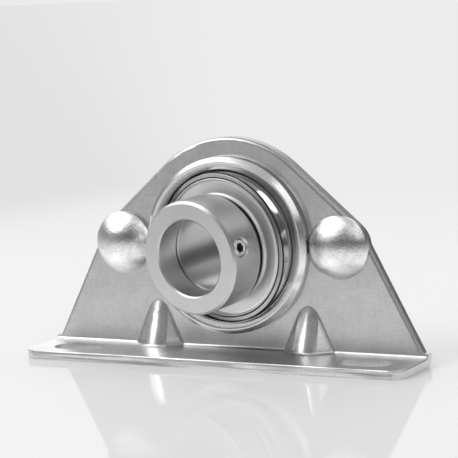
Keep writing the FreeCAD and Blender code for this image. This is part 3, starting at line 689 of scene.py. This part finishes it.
def rivet_profile():
    """Radius and place along Y, in millimetres, from the top of the head to the end of the tail."""
    top = -GAUGE - RIM_HEIGHT - DOME_HEIGHT
    head, slope = dome(HEAD_RADIUS, DOME_HEIGHT, HEAD_STEPS)
    points = [(radius, top + depth) for radius, depth in head[:-1]]
    round_radius = HEAD_RADIUS - RIM_ROUND
    round_place = -GAUGE - RIM_HEIGHT + RIM_ROUND * RIM_ROUND_SHARE
    for i in range(RIM_STEPS + 1):
        angle = slope + (math.pi / 2 - slope) * i / RIM_STEPS
        radius = round_radius + RIM_ROUND * math.sin(angle)
        points.append((radius, round_place - RIM_ROUND * math.cos(angle)))
    points += [(HEAD_RADIUS, -GAUGE - RIM_HEIGHT / 2), (HEAD_RADIUS, -GAUGE - RIM_BEVEL),
               (HEAD_RADIUS - RIM_BEVEL, -GAUGE)]
    points += [(SHANK_RADIUS, -GAUGE), (SHANK_RADIUS, 0), (SHANK_RADIUS, RETAINER_GAUGE)]
    tail, _ = dome(TAIL_RADIUS, TAIL_HEIGHT, TAIL_STEPS)
    points += [(radius, RETAINER_GAUGE + TAIL_HEIGHT - depth) for radius, depth in reversed(tail)]
    return points


def dent(point):
    """How far the tool has pressed the surface in at a point, in millimetres."""
    broad = noise.noise(point * BROAD_DENTS) * 0.5 + 0.5
    small = noise.noise(point * SMALL_DENTS + SMALL_DENT_SHIFT) * 0.5 + 0.5
    return broad * BROAD_DENT_DEPTH + small * SMALL_DENT_DEPTH


def dented(point, out, radius, along):
    """The point pressed in towards the rivet's middle, on its head and tail alone."""
    share = max(0.0, min(1.0, (abs(along) - GAUGE) / DENT_ONSET))
    inwards = Vector((0, 1 if along < 0 else -1, 0)) - out * DENT_LEAN * min(1.0, radius / HEAD_RADIUS)
    return point + inwards * dent(point) * share


def add_rivet(name):
    """A rivet whose ends carry shallow dents, in place of its plain node."""
    low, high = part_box(name)
    centre = (Vector(low) + Vector(high)) / (2 * MM)
    piece = lathe(f"{name}_dented", rivet_profile(), centre.x, centre.z, reshape=dented)
    piece.data.materials.append(LOOKS[SLOTS[name]])
    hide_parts(name)
    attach(piece, "housing")


# Floor, lights and surroundings

def pale_floor():
    """Pale gloss with a painted pool of light round the object, which reflections see; it fades into the
    backdrop.
    """
    look = Look("pale_floor")
    look.tree.nodes.remove(look.shader)
    where = look.position()
    x, y, _ = look.split(where)
    distance = look.vector("LENGTH", where)
    paths = look.add("LightPath").outputs

    pool = look.blend(look.spread(distance, 0.0, 1.0, POOL_START, POOL_EDGE, True), 1.0,
                      look.spread(distance, POOL_EDGE_LEVEL, POOL_END_LEVEL, POOL_EDGE, POOL_END))
    share = look.blend(paths["Is Glossy Ray"], 1.0, pool)
    cloud = look.grain(where, FLOOR_CLOUD_GRAINS, 2.0)
    tone = look.times(look.spread(cloud, FLOOR_TONE - FLOOR_CLOUD, FLOOR_TONE + FLOOR_CLOUD), share)
    matt = look.add("BsdfDiffuse", Color=look.grey(tone))
    glow = look.math("ADD", look.times(paths["Is Camera Ray"], FLOOR_LIFT),
                     look.times(paths["Is Glossy Ray"], pool, REFLECTED_LIFT))
    lift = look.add("Emission", Color=look.grey(glow), Strength=1.0)
    sheen = look.add("BsdfGlossy", Color=(1, 1, 1, 1), Roughness=FLOOR_ROUGH)
    near = look.join("MixShader", look.join("AddShader", matt, lift), sheen, FLOOR_GLOSS)

    heading = look.math("DIVIDE", x, look.math("MAXIMUM", y, BACKDROP_NEAREST))
    backdrop = look.spread(heading, BACKDROP_LEFT, BACKDROP, BACKDROP_LEFT_HEADING,
                           BACKDROP_RIGHT_HEADING, True)
    far = look.add("Emission", Color=look.grey(backdrop), Strength=1.0)
    away = look.times(look.spread(distance, 0.0, 1.0, FADE_START, FADE_END, True), paths["Is Camera Ray"])
    whole = look.join("MixShader", near, far, away)
    look.feed(look.tree.nodes["Material Output"].inputs["Surface"], whole.outputs[0])
    return look.material


def add_floor():
    """The floor that takes the object's shadow."""
    mesh = bpy.data.meshes.new("floor")
    shape = bmesh.new()
    bmesh.ops.create_circle(shape, cap_ends=True, radius=FLOOR_RADIUS, segments=FLOOR_CORNERS)
    shape.to_mesh(mesh)
    shape.free()
    floor = bpy.data.objects.new("floor", mesh)
    floor.location.z = FLOOR_HEIGHT
    mesh.materials.append(pale_floor())
    bpy.context.scene.collection.objects.link(floor)


def panel(nodes, ray, azimuth, elevation, half_width, half_height, level):
    """A soft-edged bright rectangle seen in a direction."""
    centre = direction(azimuth, elevation)
    right = Vector((0, 0, 1)).cross(centre).normalized()
    up = centre.cross(right)
    ahead = nodes.math("MAXIMUM", nodes.vector("DOT_PRODUCT", ray, tuple(centre)), PANEL_LEAST_AHEAD)
    result = nodes.times(nodes.spread(ahead, 0.0, 1.0, *PANEL_SEEN), level)
    for side, half in ((right, half_width), (up, half_height)):
        sideways = nodes.math("DIVIDE", nodes.vector("DOT_PRODUCT", ray, tuple(side)), ahead)
        across = nodes.math("ABSOLUTE", sideways)
        limit = math.tan(math.radians(half))
        inner = limit * (1 - PANEL_BLUR)
        outer = limit * (1 + PANEL_BLUR)
        result = nodes.times(result, nodes.spread(across, 1.0, 0.0, inner, outer, True))
    return result


def add_surroundings():
    """Pale backdrop to the camera; reflections see soft panels over a room that is darker on the right."""
    world = bpy.data.worlds.new("studio")
    bpy.context.scene.world = world
    world.use_nodes = True
    nodes = Nodes(world.node_tree)
    ray = nodes.add("TexCoord").outputs["Generated"]
    x, _, z = nodes.split(ray)
    sides = nodes.spread(x, ROOM_LEFT, ROOM_RIGHT, *LEFT_TO_RIGHT, True)
    room = nodes.blend(nodes.spread(z, 0.0, 1.0, *SIDES_TO_OVERHEAD, True), sides, ROOM_OVERHEAD)
    level = nodes.math("ADD", room, nodes.spread(z, ROOM_LOW, 0.0, *LOW_TO_SIDES, True))
    for settings in PANELS:
        level = nodes.math("ADD", level, panel(nodes, ray, *settings))
    seen = nodes.blend(nodes.add("LightPath").outputs["Is Camera Ray"], level, BACKDROP)
    background = world.node_tree.nodes["Background"]
    nodes.feed(background.inputs["Color"], nodes.grey(seen))
    background.inputs["Strength"].default_value = 1.0


add_camera()
add_floor()
add_surroundings()
dress_nodes()
add_seat_shoulder()
for rivet_name in ("rivet_left", "rivet_right"):
    add_rivet(rivet_name)
bpy.context.scene.view_settings.view_transform = "Standard"
